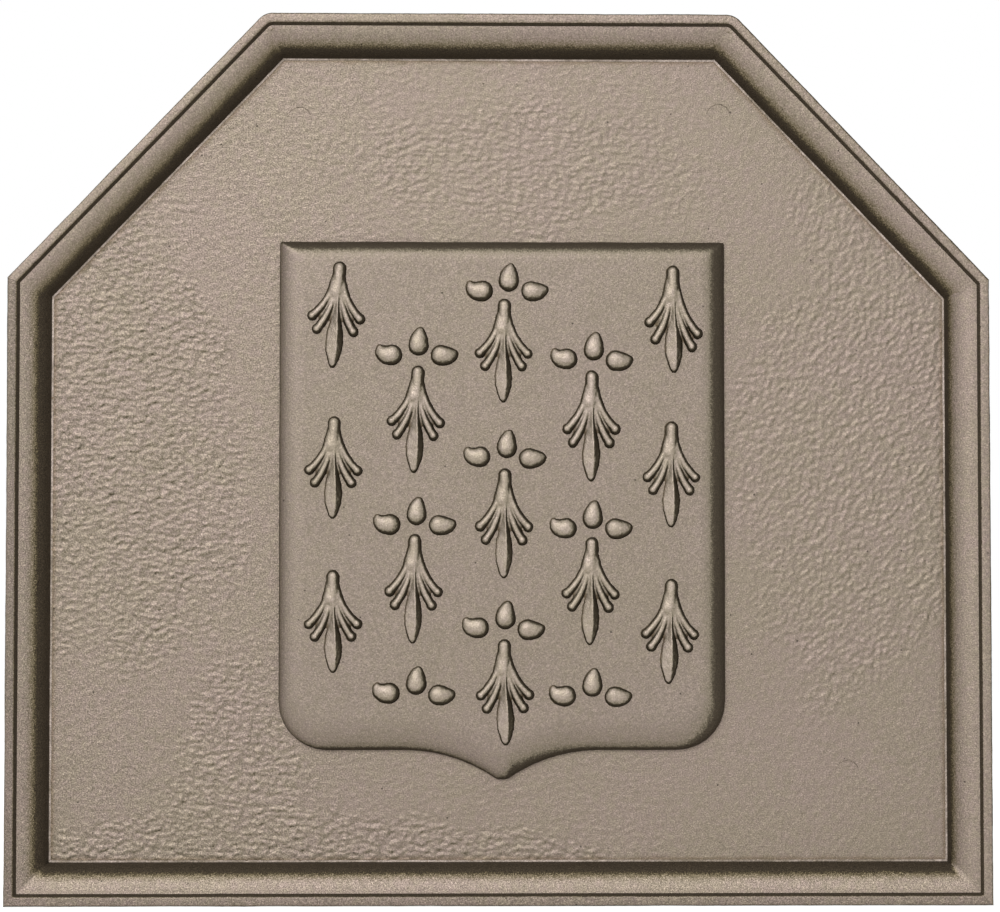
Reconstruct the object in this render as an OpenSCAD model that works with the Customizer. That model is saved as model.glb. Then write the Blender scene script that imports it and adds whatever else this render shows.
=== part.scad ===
// Cast-iron fireback: an upright plate with slanted top corners, a moulded
// frame round its edge, and a raised shield strewn with ermine spots.
// Each piece is built in a flat frame (x right, y up the plate, z out of its
// back) and then stood up: the plate rests on its base, its front looks
// towards -Y, and the origin is under the middle of its depth.

/* [Plate] */
// Width of the plate across its base
plate_w = 500; // [450:1:560]
// Height from the base to the top edge
plate_h = 454; // [435:1:520]
// Width of the top edge between the two slanted corners
top_w = 240; // [210:1:300]
// Height of the straight sides, from the base to the shoulders
side_h = 318; // [295:1:345]
// Thickness of the plate behind its field
plate_t = 10; // [6:0.5:16]
// Radius that rounds the two top corners of the outline
top_corner_r = 10; // [4:0.5:20]

/* [Frame moulding] */
// Width of the flat lip that runs along the outer edge
lip_w = 5; // [3.5:0.1:8]
// Radius on both long edges of the lip
lip_edge_r = 0.9; // [0.3:0.1:1.3]
// Width of the slope that steps down from the lip to the ovolo
step_w = 1.8; // [0.8:0.1:3]
// Depth of that step
step_d = 2; // [1:0.1:3.5]
// Width of the ovolo, the quarter-round inside the lip
ovolo_w = 15.3; // [12:0.1:18]
// Height of the ovolo's crown above the field
ovolo_h = 12; // [8:0.1:14]

/* [Shield] */
// Width of the shield at its foot
shield_w = 228; // [210:1:245]
// Height of the shield, from its lower point to its top edge
shield_h = 275; // [260:1:290]
// Height of the shield's lower point above the base of the plate
shield_lift = 63; // [52:1:72]
// How far right of the plate's middle the shield was set
shield_shift = 1.5; // [0:0.5:4]
// Height of the shield's face above the field
shield_relief = 8; // [5:0.5:12]
// Width of the rolled edge down both sides
side_roll = 12; // [8:0.5:14]
// Width of the rolled edge along the top
top_roll = 9.5; // [5:0.5:12]
// Width of the rolled edge along the bottom
bottom_roll = 16.5; // [10:0.5:20]
// Radius of the two bottom corners at the foot
shield_corner_r = 25; // [15:1:32]
// Radius of the same corners on the face
face_corner_r = 17; // [8:1:24]
// Radius of the two arcs that sweep down to the lower point
brace_r = 80; // [65:1:110]
// Distance from the middle at which those arcs begin
brace_w = 49; // [40:1:56]
// Half width of the blunt lower point
point_w = 2.5; // [1:0.5:4]
// How much narrower the brace is on the face than at its foot, to each side
brace_draw = 2; // [0:0.5:4]

/* [Ermine tail] */
// Length of a tail from its head to its point
tail_len = 53.4; // [48:0.2:56]
// Half width of the rounded head
head_r = 3; // [2.4:0.1:3.6]
// Reach of the outer feathers to each side
outer_reach = 14; // [11:0.5:15]
// Distance from the head down to the ends of the outer feathers
outer_drop = 29.6; // [26:0.2:32]
// Reach of the inner feathers to each side
inner_reach = 10.8; // [8.5:0.2:11.5]
// Distance from the head down to the ends of the inner feathers
inner_drop = 37.2; // [34:0.2:39]
// Where the outer feathers leave the neck, to the side of its middle
outer_root_w = 1.6; // [1:0.1:2.2]
// Distance from the head down to where the outer feathers leave the neck
outer_root_drop = 3; // [2:0.5:5]
// Where the inner feathers leave the neck, to the side of its middle
inner_root_w = 0.9; // [0.5:0.1:1.5]
// Distance from the head down to where the inner feathers leave the neck
inner_root_drop = 8; // [6:0.5:10]
// Half width of a feather at its rounded end
feather_r = 2.1; // [1.6:0.1:2.5]
// Height of the feathers above the shield's face
feather_h = 2.7; // [1.5:0.1:3.5]
// Widest half width of the long middle point
blade_r = 4.4; // [3.4:0.1:5]
// Distance from the head down to where the middle point is widest
blade_belly = 40; // [36:0.5:43]
// Distance above its widest place at which the middle point is narrow and the web ends
blade_taper = 10; // [8:0.5:13]
// Distance above its widest place at which the middle point leaves the neck
blade_root = 19; // [16:0.5:22]
// Height of the ridge along the middle point
blade_h = 3.4; // [2:0.1:4.5]
// Height of the web that fills the roots of the feathers
web_h = 1.5; // [0.8:0.1:2]
// Half width of the web where it ends on the middle point
web_end_w = 1; // [0.6:0.1:1.6]

/* [Ermine drops] */
// Radius of the round body of a drop
drop_r = 4.8; // [4:0.1:5.4]
// Radius of the tip of a drop
drop_tip_r = 1.7; // [1:0.1:2.4]
// Length of a drop, from its round end to its tip
drop_len = 13.6; // [11.5:0.1:15]
// Height of the body above the shield's face
drop_h = 3.4; // [2:0.1:4.5]
// Height of the tip above the shield's face
drop_tip_h = 1.9; // [1:0.1:2.5]
// Distance from a tail's head up to the middle of its upper drop
drop_rise = 12.5; // [11:0.5:14]
// Distance of the side drops from the upper one, sideways
drop_spread = 13.8; // [12.5:0.1:15]
// Distance of the side drops below the upper one
drop_fall = 7.5; // [6.5:0.5:9]

/* [Layout of the spots] */
// Clearance from the outer feathers of a side tail to the rolled edge
side_gap = 2; // [1:0.5:4]
// Distance of the two inner columns from the middle, as a share of the side columns'
inner_share = 0.52; // [0.48:0.01:0.56]
// Distance from the shield's top edge down to the first side tails
side_first = 12; // [10:0.5:16]
// Distance from the shield's top edge down to the first tails of the inner columns
inner_first = 65.5; // [62:0.5:70]
// Distance from the shield's top edge down to the first tail of the middle column
middle_first = 30; // [29:0.5:34]
// Clearance from the lowest side tails down to the rolled bottom edge
side_last = 21.5; // [12:0.5:26]
// Clearance from the lowest drops down to the rolled bottom edge
drops_last = 8; // [4:0.5:14]
// Clearance from the lowest middle tail down to the rolled lower point
middle_last = 0.4; // [0:0.2:4]

/* [Hidden] */

iron = [0.62, 0.575, 0.51];
iron_light = [0.68, 0.63, 0.565];

arc_fn = 96;

// Depths, all measured from the plane of the back
lip_h = ovolo_h + step_d;
frame_t = plate_t + lip_h;
face_z = plate_t + shield_relief;

// Plan of the outer edge, clockwise from the bottom left corner
outline = [
  [-plate_w / 2, 0], [-plate_w / 2, side_h], [-top_w / 2, plate_h],
  [top_w / 2, plate_h], [plate_w / 2, side_h], [plate_w / 2, 0]
];
band_w = lip_w + step_w + ovolo_w;

// The ovolo's arc is tangent to the crown and meets the field at its foot
ovolo_r = (ovolo_w * ovolo_w + ovolo_h * ovolo_h) / (2 * ovolo_h);

// Heights of the shield's parts above the base of the plate
shield_top = shield_lift + shield_h;
brace_angle = asin((brace_w - point_w) / brace_r);
brace_fall = brace_r * (1 - cos(brace_angle));
shield_base = shield_lift + brace_fall;
face_top = shield_top - top_roll;
face_base = shield_base + bottom_roll;
face_brace_w = brace_w - brace_draw;
face_brace_angle = asin((face_brace_w - point_w) / brace_r);
face_point = face_base - brace_r * (1 - cos(face_brace_angle));
corner_steps = 7;
brace_steps = 7;
roll_steps = 6;
feather_steps = 4;

// Columns of spots, measured from the shield's middle
side_x = shield_w / 2 - side_roll - outer_reach - side_gap;
inner_x = side_x * inner_share;
middle_x = 1;
// Rows, as the heights of the heads, spread evenly from the first to the last
side_start = shield_top - side_first;
side_pitch = (side_start - (face_base + side_last + tail_len)) / 2;
inner_start = shield_top - inner_first;
inner_pitch = (inner_start + drop_rise - drop_fall - drop_r - (face_base + drops_last)) / 2;
middle_start = shield_top - middle_first;
middle_pitch = (middle_start - (face_point + middle_last + tail_len)) / 2;

// How far each hand-set spot lies off its mark: right, up, and lean in degrees
left_strays = [[3.4, 0.8, -4.2], [0.5, 0.2, -0.9], [0, 0.4, 0]];
right_strays = [[0.8, -0.8, 0.7], [0.1, -2.2, -0.4], [0, -4, -1.8]];
inner_left_strays = [[1.8, 1.2, -2.4], [0.2, 0.8, -1.2], [1, 1, 0]];
inner_right_strays = [[0.8, -1, -0.6], [0.8, -0.8, -1.4], [1, -0.6, 0]];
middle_strays = [[0, 0, -0.8], [0.2, 0, -0.7], [-0.3, 0, 0.9]];
inner_left_drop_strays = [[1.7, 1.9], [0.8, 0.6], [0.5, -0.1]];
inner_right_drop_strays = [[1.4, -0.4], [0.9, -1.2], [0.6, -1.2]];
middle_drop_strays = [[2, -0.8], [0.8, 0.8], [0.1, 0.5]];

// Straight-line and curve helpers
function unit(v) = v / norm(v);
function inward(a, b) = let (d = unit(b - a)) [d.y, -d.x];
function side_end(i) = outline[(i + 1) % len(outline)];
// Corner i of the outline moved inwards so that both its edges shift by w
function mitre(i, w) =
  let (
    n0 = inward(outline[(i + len(outline) - 1) % len(outline)], outline[i]),
    n1 = inward(outline[i], side_end(i))
  )
  outline[i] + w * (n0 + n1) / (1 + n0 * n1);
function arc(centre, r, a0, a1, steps) = [
  for (i = [0:steps]) let (a = a0 + (a1 - a0) * i / steps) centre + r * [cos(a), sin(a)]
];
function bezier(a, b, c, t) = (1 - t) * (1 - t) * a + 2 * t * (1 - t) * b + t * t * c;
function flip(points) = [for (i = [len(points) - 1:-1:0]) [-points[i].x, points[i].y]];

// Stands a flat-built piece up in the part's own frame
module stand() {
  translate([0, frame_t / 2, 0]) rotate([90, 0, 0]) children();
}

// ---------------------------------------------------------------- plate

// What a rounded corner removes from the sharp outline
module corner_waste(i) {
  n0 = inward(outline[i - 1], outline[i]);
  n1 = inward(outline[i], outline[i + 1]);
  centre = mitre(i, top_corner_r);
  difference() {
    polygon([outline[i], centre + top_corner_r * n1 * -1, centre, centre - top_corner_r * n0]);
    translate(centre) circle(top_corner_r, $fn = arc_fn);
  }
}

module plan() {
  difference() {
    polygon(outline);
    corner_waste(2);
    corner_waste(3);
  }
}

module back_plate() {
  color(iron) stand() linear_extrude(plate_t) plan();
}

// ------------------------------------------------------------- moulding

// Section of the frame, x inwards from the outer edge and y up from the field:
// a lip with two rounded edges, and the slope that steps down from it
module lip_section() {
  polygon([
    [0, 0], [lip_w + step_w, 0], [lip_w + step_w, ovolo_h], [lip_w, lip_h - lip_edge_r],
    [lip_w - lip_edge_r, lip_h], [lip_edge_r, lip_h], [0, lip_h - lip_edge_r]
  ]);
  for (x = [lip_edge_r, lip_w - lip_edge_r])
    translate([x, lip_h - lip_edge_r]) circle(lip_edge_r, $fn = 32);
}

module ovolo_section() {
  intersection() {
    translate([lip_w + step_w, ovolo_h - ovolo_r]) circle(ovolo_r, $fn = arc_fn);
    translate([lip_w / 2, 0]) square([lip_w / 2 + step_w + ovolo_w + 1, ovolo_h]);
  }
}

// One length of the frame along side i of the outline, mitred at both ends
module moulding(i) {
  a = outline[i];
  b = side_end(i);
  d = unit(b - a);
  run = norm(b - a);
  over = band_w * 2;
  color(iron_light) stand() translate([0, 0, plate_t]) intersection() {
    translate(a) rotate([0, 0, atan2(d.y, d.x)])
      translate([-over, 0, 0]) rotate([90, 0, 90]) mirror([1, 0, 0])
        linear_extrude(run + 2 * over) { lip_section(); ovolo_section(); }
    linear_extrude(lip_h) polygon([a, b, mitre((i + 1) % len(outline), band_w + 1), mitre(i, band_w + 1)]);
    if (i == 1 || i == 2 || i == 3) linear_extrude(lip_h) plan();
  }
}

// --------------------------------------------------------------- shield

// Half of a shield outline: down the right side to the lower point
function half_shield(w, top, base, corner_r, brace, angle) = concat(
  [[w, top]],
  arc([w - corner_r, base + corner_r], corner_r, 0, -90, corner_steps),
  arc([brace, base - brace_r], brace_r, 90, 90 + angle, brace_steps)
);
function shield_line(half) = concat(half, flip(half));

foot_line = shield_line(half_shield(shield_w / 2, shield_top, shield_base, shield_corner_r, brace_w, brace_angle));
face_line = shield_line(half_shield(shield_w / 2 - side_roll, face_top, face_base, face_corner_r,
                                    face_brace_w, face_brace_angle));

// Rings of the rolled edge follow a quarter ellipse from the foot to the face
function roll_ring(k) =
  let (a = 90 * k / roll_steps, inset = 1 - cos(a), rise = shield_relief * sin(a))
  [for (i = [0:len(foot_line) - 1])
    let (p = foot_line[i] + (face_line[i] - foot_line[i]) * inset) [p.x, p.y, rise]];

module shield() {
  n = len(foot_line);
  points = [for (k = [0:roll_steps]) each roll_ring(k)];
  walls = [for (k = [0:roll_steps - 1]) for (i = [0:n - 1])
    let (j = (i + 1) % n, low = k * n, high = low + n)
    each [[low + i, high + i, high + j], [low + i, high + j, low + j]]];
  foot = [for (i = [0:n - 1]) i];
  face = [for (i = [n - 1:-1:0]) roll_steps * n + i];
  color(iron) stand() translate([shield_shift, 0, plate_t])
    polyhedron(points, concat(walls, [foot, face]), convexity = 4);
}

// --------------------------------------------------------- ermine tails

// Half sections of a feather and of the ridged middle point
function feather_section(r, h) = [[-r, 0], [-0.8 * r, 0.6 * h], [-0.35 * r, h], [0.35 * r, h], [0.8 * r, 0.6 * h], [r, 0]];
function blade_section(r, h) = [[-r, 0], [-0.85 * r, 0.4 * h], [0, h], [0.85 * r, 0.4 * h], [r, 0]];

// The points of a section stood across a route at p, square to the direction d
function stand_section(p, d, section) =
  let (across = [-d.y, d.x] / norm(d)) [for (q = section) [p.x + across.x * q.x, p.y + across.y * q.x, q.y]];

// The solid between two sections that have as many points as each other
module link(first, second) {
  n = len(first);
  hull() polyhedron(
    concat(first, second),
    concat(
      [[for (i = [0:n - 1]) i], [for (i = [n - 1:-1:0]) n + i]],
      [for (i = [0:n - 1]) let (j = (i + 1) % n) [j, i, n + i, n + j]]
    )
  );
}

// Route of a feather: it leaves the neck steeply and swings out to its end
function outer_at(t) = bezier([-outer_root_w, -outer_root_drop], [-0.28 * outer_reach, -0.57 * outer_drop], [-outer_reach, -outer_drop], t);
function inner_at(t) = bezier([-inner_root_w, -inner_root_drop], [-0.28 * inner_reach, -0.66 * inner_drop], [-inner_reach, -inner_drop], t);
function feather_at(outer, t) = outer ? outer_at(t) : inner_at(t);
function swell(t) = 0.72 + 0.28 * t;

// Section of a feather at t; past its end the feather rounds off
function feather_cut(outer, t) =
  let (d = feather_at(outer, t - 0.02) - feather_at(outer, t + 0.02))
  stand_section(feather_at(outer, t), d, feather_section(feather_r * swell(t), feather_h));
function feather_tip(outer) =
  let (end = feather_at(outer, 1), d = unit(feather_at(outer, 0.96) - end))
  stand_section(end - 0.75 * feather_r * d, d, feather_section(0.6 * feather_r, 0.6 * feather_h));

module feather(outer) {
  cuts = concat(
    [for (i = [0:feather_steps]) feather_cut(outer, i / feather_steps)],
    [feather_tip(outer)]
  );
  for (i = [0:feather_steps]) link(cuts[i], cuts[i + 1]);
}

// Stations down the head, neck and middle point: distance, half width, height
blade_stations = [
  [0, 0.55 * head_r, 0.4 * blade_h],
  [0.5 * head_r, 0.9 * head_r, 0.8 * blade_h],
  [1.6 * head_r, head_r, 0.9 * blade_h],
  [blade_belly - blade_root, 0.6 * head_r, 0.85 * blade_h],
  [blade_belly - blade_taper, 0.62 * blade_r, 0.95 * blade_h],
  [blade_belly, blade_r, blade_h],
  [(blade_belly + tail_len) / 2, 0.7 * blade_r, 0.85 * blade_h],
  [tail_len, 0.1 * blade_r, 0.25 * blade_h]
];

module blade() {
  cuts = [for (s = blade_stations) stand_section([0, -s[0]], [0, 1], blade_section(s[1], s[2]))];
  for (i = [0:len(cuts) - 2]) link(cuts[i], cuts[i + 1]);
}

// The web closes the grooves between the roots of the feathers
module web() {
  half = [[-0.6 * head_r, -outer_root_drop], outer_at(0.4), outer_at(0.72), inner_at(0.6), [-web_end_w, blade_taper - blade_belly]];
  linear_extrude(web_h) polygon(concat(half, flip(half)));
}

// A tail hanging from its head, which is at the origin
module tail() {
  blade();
  web();
  for (side = [0, 1]) mirror([side, 0, 0]) {
    feather(true);
    feather(false);
  }
}

module set_tail(x, start, pitch, row, strays) {
  stray = strays[row];
  color(iron_light) stand()
    translate([shield_shift + x + stray.x, start - pitch * row + stray.y, face_z])
      rotate([0, 0, stray.z]) tail();
}

// --------------------------------------------------------- ermine drops

// Low round dome, flat underneath
module dome(r, h) {
  steps = 3;
  rotate_extrude($fn = 12)
    polygon(concat([[0, 0]], [for (i = [0:steps]) let (a = 90 * i / steps) [r * cos(a), h * sin(a)]]));
}

// The dome at t on a drop's bent line, from its body at 0 to its tip at 1
module drop_dome(hook, t) {
  reach = drop_len - drop_r - drop_tip_r;
  translate([hook * t * t, reach * t])
    dome(drop_r + (drop_tip_r - drop_r) * t, drop_h + (drop_tip_h - drop_h) * t);
}

// A drop with its body at the origin and its tip towards +y, bent by hook
module drop(hook = 0) {
  stops = [0, 0.45, 0.75, 1];
  for (i = [0:2]) hull() {
    drop_dome(hook, stops[i]);
    drop_dome(hook, stops[i + 1]);
  }
}

// Three drops round a tail's head, which is at the origin
module drops() {
  body_shift = (drop_len / 2 - drop_r);
  translate([-0.6, drop_rise - body_shift]) drop(1.6);
  translate([-drop_spread + body_shift - 0.4, drop_rise - drop_fall - 0.8]) rotate([0, 0, 68]) drop(-1.6);
  translate([drop_spread - body_shift - 0.6, drop_rise - drop_fall - 0.2]) rotate([0, 0, -84]) drop(-0.4);
}

module set_drops(x, start, pitch, row, strays) {
  stray = strays[row];
  color(iron_light) stand()
    translate([shield_shift + x + stray.x, start - pitch * row + stray.y, face_z]) drops();
}

// ----------------------------------------------------------------- parts

back_plate();
moulding(0);  // moulding_left
moulding(1);  // moulding_upper_left
moulding(2);  // moulding_top
moulding(3);  // moulding_upper_right
moulding(4);  // moulding_right
moulding(5);  // moulding_bottom
shield();
for (row = [0:2]) {
  set_tail(-side_x, side_start, side_pitch, row, left_strays);
  set_tail(middle_x, middle_start, middle_pitch, row, middle_strays);
  set_tail(side_x, side_start, side_pitch, row, right_strays);
  set_drops(-inner_x, inner_start, inner_pitch, row, inner_left_drop_strays);
  set_drops(middle_x, middle_start, middle_pitch, row, middle_drop_strays);
  set_drops(inner_x, inner_start, inner_pitch, row, inner_right_drop_strays);
}
for (row = [0:1]) {
  set_tail(-inner_x, inner_start, inner_pitch, row, inner_left_strays);
  set_tail(inner_x, inner_start, inner_pitch, row, inner_right_strays);
}
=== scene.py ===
"""Cast-iron fireback: a sand-cast plate with a moulded frame and a shield of ermine spots.

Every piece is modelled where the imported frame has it: metres, +Z up, the front towards -Y.
Sizes that name a piece of the casting are given in millimetres and turned to metres once.
"""
import logging
import math
from collections.abc import Callable, Iterator, Sequence
from contextlib import contextmanager
from dataclasses import dataclass, replace
from enum import Enum

import bmesh
import bpy
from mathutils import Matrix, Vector, noise


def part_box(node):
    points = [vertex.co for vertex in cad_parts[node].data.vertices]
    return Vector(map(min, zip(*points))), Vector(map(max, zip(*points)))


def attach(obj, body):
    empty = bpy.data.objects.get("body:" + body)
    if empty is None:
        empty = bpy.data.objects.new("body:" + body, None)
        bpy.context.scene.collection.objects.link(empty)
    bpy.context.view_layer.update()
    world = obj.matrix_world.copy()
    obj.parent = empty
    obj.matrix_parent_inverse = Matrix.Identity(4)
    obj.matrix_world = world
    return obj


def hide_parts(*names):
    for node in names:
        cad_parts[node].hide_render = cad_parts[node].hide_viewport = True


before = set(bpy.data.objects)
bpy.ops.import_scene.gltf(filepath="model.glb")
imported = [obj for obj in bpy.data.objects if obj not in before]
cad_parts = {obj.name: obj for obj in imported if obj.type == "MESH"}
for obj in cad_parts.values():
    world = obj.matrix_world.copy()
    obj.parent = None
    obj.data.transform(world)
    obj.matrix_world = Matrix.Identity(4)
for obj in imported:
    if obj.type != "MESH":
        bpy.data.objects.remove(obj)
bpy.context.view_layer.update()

MM = 0.001
HAIR = 0.01 * MM  # how near a point has to lie to a plane to count as on it
BODY = "root"
FOOT_SHADE = "foot_shade_share"  # mesh attribute: share of painted shade at a place
WORN = "worn"  # mesh attribute: share by which the sand grain is worn away at a place
log = logging.getLogger("fireback")

Object = bpy.types.Object
Material = bpy.types.Material
Tree = bpy.types.NodeTree
Socket = bpy.types.NodeSocket
Point = tuple[float, float]
Place = tuple[float, float, float]
Test = Callable[[Vector, object], bool]  # gets an element's middle and the element itself


# ------------------------------------------------------------------ workshop


class Element(Enum):
    """Kinds of mesh element that can be picked in edit mode."""

    VERTEX = "VERT"
    EDGE = "EDGE"
    FACE = "FACE"


def only(piece: Object) -> None:
    """Make a piece the only selected object, and the active one."""
    bpy.ops.object.select_all(action="DESELECT")
    piece.select_set(True)
    bpy.context.view_layer.objects.active = piece


def claim(name: str) -> Object:
    """Name the shape that was just added, and put its place in its mesh."""
    piece = bpy.context.active_object
    piece.name = name
    piece.data.name = name
    settle(piece)
    return piece


def settle(piece: Object) -> None:
    """Put a piece's place, turn and scale in its mesh."""
    only(piece)
    bpy.ops.object.transform_apply(location=True, rotation=True, scale=True)


def add(name: str, primitive: Callable, scale: Place = (1, 1, 1), **settings: object) -> Object:
    """Add a primitive with nothing else selected.

    Args:
        name: The piece's name.
        primitive: Blender's operator for it.
        scale: How far it is stretched along its own axes.
        settings: The operator's settings.

    Returns:
        The new object, at the origin, unturned and unscaled.
    """
    bpy.ops.object.select_all(action="DESELECT")
    primitive(**settings)
    bpy.context.active_object.scale = scale
    return claim(name)


@contextmanager
def editing(piece: Object) -> Iterator[None]:
    """Open one piece in edit mode with all of it selected, and close it again after."""
    only(piece)
    bpy.ops.object.mode_set(mode="EDIT")
    pick_all(Element.VERTEX)
    yield
    bpy.ops.object.mode_set(mode="OBJECT")


def pick_all(kind: Element) -> None:
    """Select every element of one kind of the open piece."""
    bpy.ops.mesh.select_mode(type=kind.value)
    bpy.ops.mesh.select_all(action="SELECT")


def pick(piece: Object, kind: Element, test: Test) -> None:
    """Select the elements of the open piece that pass a test, and nothing else.

    Args:
        piece: The piece that is open in edit mode.
        kind: Which kind of element is tested.
        test: The test.
    """
    bpy.ops.mesh.select_mode(type=kind.value)
    bpy.ops.mesh.select_all(action="DESELECT")
    mesh = bmesh.from_edit_mesh(piece.data)
    if kind is Element.VERTEX:
        pairs = [(v.co, v) for v in mesh.verts]
    elif kind is Element.EDGE:
        pairs = [((e.verts[0].co + e.verts[1].co) / 2, e) for e in mesh.edges]
    else:
        pairs = [(f.calc_center_median(), f) for f in mesh.faces]
    for middle, element in pairs:
        if test(middle, element):
            element.select_set(True)
    mesh.select_flush_mode()
    bmesh.update_edit_mesh(piece.data)


def pick_open_edges(piece: Object) -> None:
    """Select the edges of the open piece that bound a hole, and nothing else."""
    pick(piece, Element.EDGE, lambda place, edge: edge.is_boundary)


def drop_faces(piece: Object, test: Test) -> None:
    """Delete the faces of the open piece that pass a test."""
    pick(piece, Element.FACE, test)
    bpy.ops.mesh.delete(type="FACE")


def cut_off(point: Place, normal: Place, fill: bool = False) -> None:
    """Cut all of the open piece with a plane, and drop what lies on the normal's side."""
    bpy.ops.mesh.select_all(action="SELECT")
    bpy.ops.mesh.bisect(plane_co=point, plane_no=normal, clear_outer=True, use_fill=fill)


def ring_cut(point: Place, normal: Place) -> None:
    """Cut a line of new edges into all of the open piece where it meets a plane."""
    bpy.ops.mesh.select_all(action="SELECT")
    bpy.ops.mesh.bisect(plane_co=point, plane_no=normal)


def deepen(move: Callable, depth: float) -> None:
    """Extrude what is selected straight back, or forward where the depth is below 0."""
    move(TRANSFORM_OT_translate={"value": (0, depth, 0)})


def face_outwards() -> None:
    """Turn every face of the open piece outwards."""
    bpy.ops.mesh.select_all(action="SELECT")
    bpy.ops.mesh.normals_make_consistent(inside=False)


def apply_modifier(piece: Object, kind: str, **settings: object) -> None:
    """Add a modifier with its settings to a piece, and apply it."""
    modifier = piece.modifiers.new(kind.title(), kind)
    for name, value in settings.items():
        setattr(modifier, name, value)
    only(piece)
    bpy.ops.object.modifier_apply(modifier=modifier.name)


def smooth(piece: Object, angle: float) -> None:
    """Shade a piece smooth, apart from creases sharper than an angle in degrees."""
    only(piece)
    bpy.ops.object.shade_smooth_by_angle(angle=math.radians(angle))


def copy_of(piece: Object, name: str) -> Object:
    """A copy of a piece, with its own mesh and a new name."""
    twin = bpy.data.objects.new(name, piece.data.copy())
    bpy.context.scene.collection.objects.link(twin)
    twin.data.name = name
    return twin


def join(pieces: Sequence[Object], name: str) -> Object:
    """Join several pieces into the first one's mesh, under a new name."""
    only(pieces[0])
    for piece in pieces:
        piece.select_set(True)
    bpy.ops.object.join()
    joined = bpy.context.active_object
    joined.name = name
    joined.data.name = name
    return joined


def remove(piece: Object) -> None:
    """Delete a piece that was only a pattern for others."""
    bpy.data.objects.remove(piece)


def soft_step(value: float, low: float, high: float) -> float:
    """A share from 0 to 1 that rises smoothly while a value goes from low to high."""
    share = min(1.0, max(0.0, (value - low) / (high - low)))
    return share * share * (3 - 2 * share)


def weigh(piece: Object, group: str, weight: Callable[[Vector], float], levels: int = 24) -> None:
    """Give each vertex of a piece a weight in a group by its place, in even steps from 0 to 1."""
    batches: list[list[int]] = [[] for _ in range(levels + 1)]
    for vertex in piece.data.vertices:
        batches[round(levels * weight(vertex.co))].append(vertex.index)
    weights = piece.vertex_groups.new(name=group)
    for level, batch in enumerate(batches):
        if batch and level:
            weights.add(batch, level / levels, "REPLACE")


def mark(piece: Object, attribute: str, share: Callable[[Vector], float]) -> None:
    """Note a share from 0 to 1 for each vertex of a piece by its place, for its finish."""
    marks = piece.data.attributes.new(attribute, "FLOAT", "POINT")
    for vertex, point in zip(piece.data.vertices, marks.data):
        point.value = share(vertex.co)


@dataclass(frozen=True)
class Relief:
    """Unevenness that the sand of the mould leaves on a casting."""

    size: float  # mm across one bump
    height: float  # mm from the lowest to the highest point
    sink: float = 0.5  # share of the height that goes below the true surface
    depth: int = 1  # how many finer sizes are laid over the first
    stretch: float = 1.0  # length of a bump against its height
    rise: float = 0.0  # degrees by which the long way of the bumps rises to the right

    def press(self, piece: Object, group: str = "") -> None:
        """Press this unevenness into a piece's surface.

        Args:
            piece: The piece whose vertices move along their normals.
            group: Vertex group that fades it, or nothing for all over.
        """
        texture = bpy.data.textures.new("sand", "CLOUDS")
        texture.noise_scale = self.size * MM
        texture.noise_depth = self.depth
        texture.noise_basis = "IMPROVED_PERLIN"
        lie = bpy.data.objects.new("lie_of_the_sand", None)
        bpy.context.scene.collection.objects.link(lie)
        lie.rotation_euler.y = -math.radians(self.rise)
        lie.scale.x = self.stretch
        bpy.context.view_layer.update()
        apply_modifier(
            piece, "DISPLACE", texture=texture, texture_coords="OBJECT",
            texture_coords_object=lie, direction="NORMAL",
            strength=self.height * MM, mid_level=self.sink, vertex_group=group,
        )
        bpy.data.textures.remove(texture)
        bpy.data.objects.remove(lie)


def relax(piece: Object, rounds: int, group: str = "") -> None:
    """Even out a piece's surface, all over or where a vertex group weighs it."""
    apply_modifier(piece, "SMOOTH", factor=0.5, iterations=rounds, vertex_group=group)


def wandering(place: Vector, size: float) -> float:
    """A value from -1 to 1 that changes slowly over the front, in waves of a size in mm."""
    return noise.noise(Vector((place.x, 0, place.z)) * per_metre(size))


# ------------------------------------------------------------------- outline


class Side(Enum):
    """Sides of the fireback's outline, clockwise from the bottom left corner."""

    LEFT = 0
    UPPER_LEFT = 1
    TOP = 2
    UPPER_RIGHT = 3
    RIGHT = 4
    BOTTOM = 5


TOP_CORNERS = (Side.TOP.value, Side.UPPER_RIGHT.value)  # the corners at the ends of the top edge


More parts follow.
